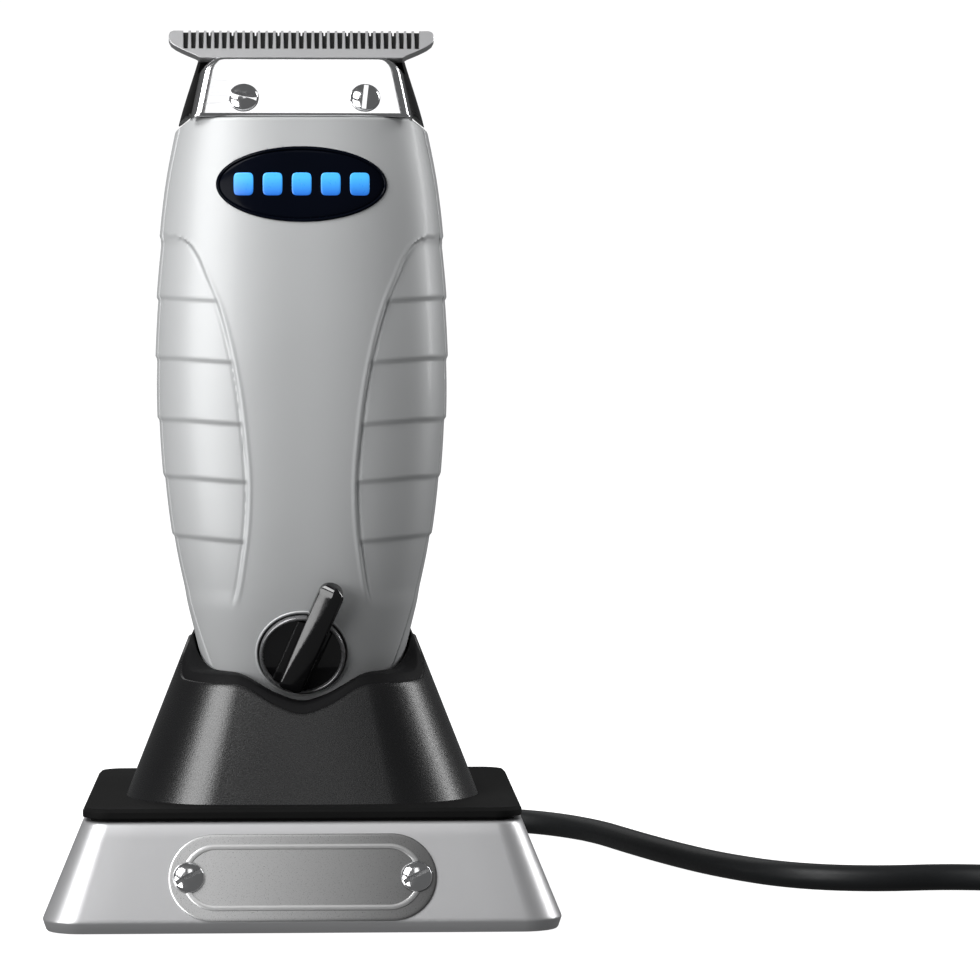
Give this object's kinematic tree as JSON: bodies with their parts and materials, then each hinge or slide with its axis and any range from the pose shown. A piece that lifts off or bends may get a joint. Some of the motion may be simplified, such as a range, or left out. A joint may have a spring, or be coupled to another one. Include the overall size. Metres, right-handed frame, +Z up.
{
  "type": "hair clipper",
  "caption": "Cordless T-blade hair clipper standing in a weighted charging stand, with its supply lead and plug-in adapter.",
  "frame": {"origin": "on the table under the middle of the charging stand", "axes": "+Z up along the standing clipper, -Y the way the clipper and stand face, +X to the right as seen from the front"},
  "size_m": [0.2172, 0.1377, 0.1355],
  "materials": {
    "base_metal": "satin, fine blasted grain",
    "badge_metal": "satin",
    "chrome": "polished",
    "black_satin": "satin, fine grain",
    "black_plain": "matte",
    "black_gloss": "gloss",
    "gold": "polished",
    "steel": "satin",
    "rubber": "matte",
    "board_green": "satin solder mask",
    "cord_black": "satin",
    "tie_black": "matte",
    "housing_silver": "satin metallic",
    "lens_black": "gloss",
    "blade_chrome": "mirror polished, ground teeth",
    "cell_wrap": "gloss sleeve",
    "yoke_white": "natural nylon",
    "light_blue": "lit from behind"
  },
  "bodies": {
    "stand": {"stand_base_shell": "base_metal", "stand_badge_plate": "badge_metal", "stand_badge_screws": "chrome", "stand_deck": "black_satin", "stand_cup": "black_satin", "stand_well": "black_plain", "contact_block": "black_plain", "pin_spring_left": "steel", "pin_spring_right": "steel", "stand_bottom_cover": "black_plain", "bottom_cover_screws": "steel", "stand_feet": "rubber", "stand_ballast": "steel", "stand_circuit_board": "board_green", "board_standoffs": "black_plain", "dc_jack": "black_plain", "dc_plug": "cord_black", "plug_strain_relief": "cord_black", "cord_lead": "cord_black", "cord_coil": "cord_black", "coil_tie": "tie_black", "cord_tail": "cord_black", "adapter_strain_relief": "cord_black", "adapter_base": "black_plain", "adapter_lid": "black_plain", "adapter_prongs": "chrome", "adapter_circuit_board": "board_green"},
    "clipper": {"front_housing": "housing_silver", "rear_housing": "housing_silver", "housing_screws": "steel", "charge_contacts": "gold", "badge_bezel": "chrome", "badge_lens": "lens_black", "charge_light_bars": "light_blue", "head_neck": "black_gloss", "fixed_blade": "blade_chrome", "blade_screws": "chrome", "cutter_spring": "steel", "motor_can": "steel", "motor_mount": "black_plain", "battery_cell": "cell_wrap", "cell_cradle": "black_plain", "main_circuit_board": "board_green", "light_board": "board_green", "switch_contact": "gold"},
    "cutter": {"cutter_blade": "steel", "drive_yoke": "yoke_white", "yoke_rivets": "steel"},
    "rotor": {"motor_shaft": "steel", "eccentric_cam": "yoke_white"},
    "switch": {"switch_knob": "black_gloss", "switch_lever": "black_gloss", "switch_shaft": "black_plain"},
    "pin_left": {"contact_pin_left": "gold"},
    "pin_right": {"contact_pin_right": "gold"}
  },
  "joints": [
    {"name": "clipper_lift", "type": "slide", "parent": "stand", "child": "clipper", "axis": [0, 0, 1], "range_m": [0, 0.045]},
    {"name": "switch_turn", "type": "hinge", "parent": "clipper", "child": "switch", "pos_m": [0, -0.01315, 0.0399], "axis": [0, -0.9272, -0.3746], "range_deg": [0, 49]},
    {"name": "cutter_stroke", "type": "slide", "parent": "clipper", "child": "cutter", "axis": [1, 0, 0], "range_m": [-0.001, 0.001]},
    {"name": "motor_spin", "type": "hinge", "parent": "clipper", "child": "rotor", "pos_m": [0, -0.001, 0.12], "axis": [0, 0, 1], "continuous": true},
    {"name": "pin_left_press", "type": "slide", "parent": "stand", "child": "pin_left", "axis": [0, 0, 1], "range_m": [-0.001, 0], "stiffness_N_per_m": 250, "springref_m": 0.002, "deforming": ["pin_spring_left"]},
    {"name": "pin_right_press", "type": "slide", "parent": "stand", "child": "pin_right", "axis": [0, 0, 1], "range_m": [-0.001, 0], "stiffness_N_per_m": 250, "springref_m": 0.002, "deforming": ["pin_spring_right"]}
  ]
}
